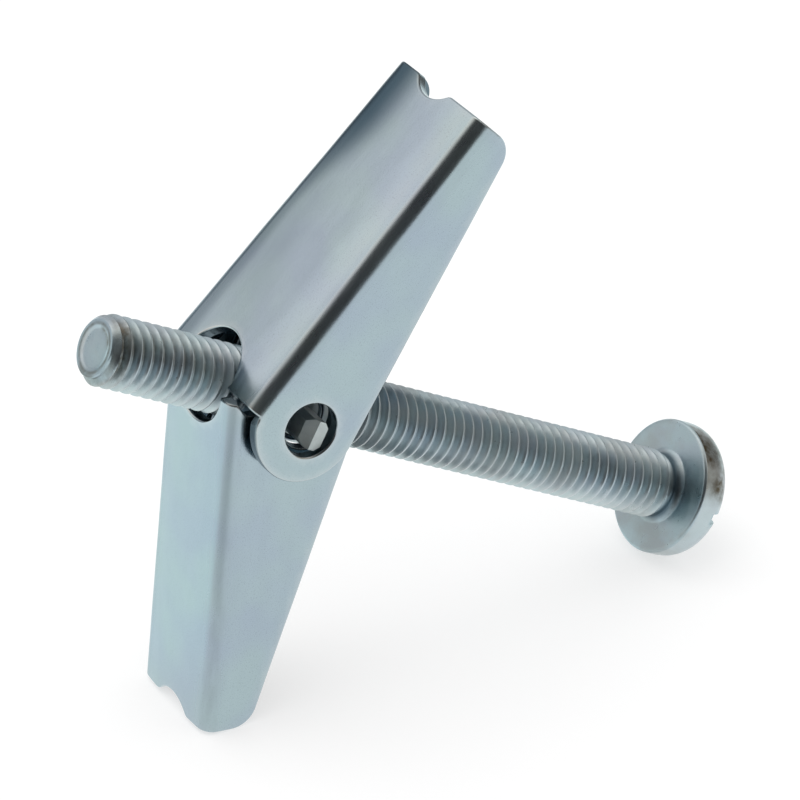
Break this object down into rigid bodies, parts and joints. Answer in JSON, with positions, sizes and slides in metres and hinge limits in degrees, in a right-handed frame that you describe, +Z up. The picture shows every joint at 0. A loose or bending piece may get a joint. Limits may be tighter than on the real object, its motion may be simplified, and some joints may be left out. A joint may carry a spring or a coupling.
{
  "type": "spring toggle bolt",
  "caption": "Spring toggle bolt: a slotted machine screw through a trunnion nut that carries folded sheet-steel wings sprung open by a torsion spring.",
  "frame": {"origin": "centre of the bounding box's footprint, on the floor that the head's rim and the inner wing's tip stand on", "axes": "+X towards the screw's head, level; +Y across the wings, along their hinges; +Z up, towards the outer wing"},
  "size_m": [0.0584, 0.0154, 0.0498],
  "materials": {
    "screw_zinc": "zinc plated with a faint yellow cast",
    "nut_zinc": "bright zinc plated",
    "wing_zinc": "satin bluish zinc plated",
    "spring_wire": "bright drawn wire"
  },
  "bodies": {
    "screw": {"machine_screw": "screw_zinc"},
    "nut": {"trunnion_nut": "nut_zinc", "torsion_spring": "spring_wire"},
    "outer": {"outer_wing": "wing_zinc"},
    "inner": {"inner_wing": "wing_zinc"}
  },
  "joints": [
    {"name": "nut_travel", "type": "slide", "parent": "screw", "child": "nut", "axis": [0.8705, 0, -0.4922], "range_m": [-0.013, 0.0125]},
    {"name": "outer_fold", "type": "hinge", "parent": "nut", "child": "outer", "pos_m": [-0.01316, 0, 0.02713], "axis": [0, 1, 0], "range_deg": [0, 72], "stiffness_Nm_per_rad": 0.02, "springref_deg": -57.3, "deforming": ["torsion_spring"]},
    {"name": "inner_fold", "type": "hinge", "parent": "nut", "child": "inner", "pos_m": [-0.01242, 0, 0.02671], "axis": [0, -1, 0], "range_deg": [0, 67.5], "stiffness_Nm_per_rad": 0.02, "springref_deg": -57.3, "deforming": ["torsion_spring"]}
  ]
}
